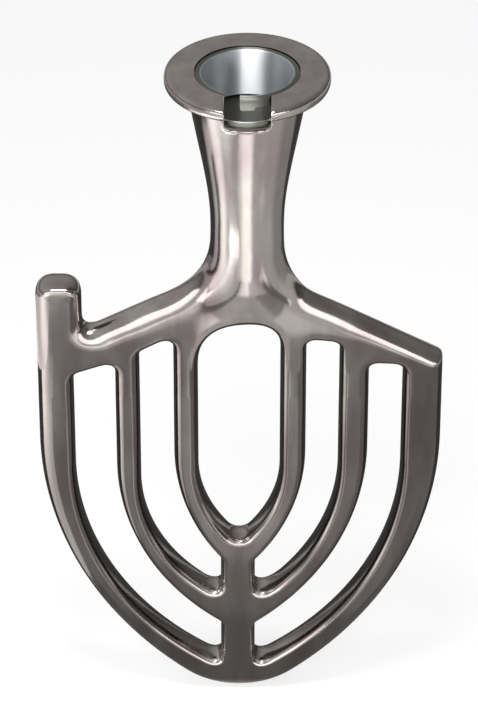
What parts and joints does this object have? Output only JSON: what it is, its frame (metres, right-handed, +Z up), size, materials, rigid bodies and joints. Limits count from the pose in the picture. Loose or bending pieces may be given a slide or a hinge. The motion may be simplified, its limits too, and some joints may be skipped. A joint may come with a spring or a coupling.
{
  "type": "flat beater",
  "caption": "Flat beater for a small planetary mixer: nested curved blades hang from a tapering shank, under a flanged hub with a steel-lined bore and a bayonet slot.",
  "frame": {"origin": "on the hub's axis, level with the top face of the flange", "axes": "+Z up along the hub's axis, out of the bore's mouth; +X along the cross bar, away from the horn; -Y towards the notch in the hub's front"},
  "size_m": [0.1303, 0.0505, 0.2368],
  "materials": {
    "burnished_cast_aluminium": "cast and burnished, smooth and glossy, with soft bright highlights",
    "turned_steel": "turned and pressed in, satin"
  },
  "bodies": {
    "root": {"beater_casting": "burnished_cast_aluminium", "hub_liner": "turned_steel"}
  },
  "joints": []
}
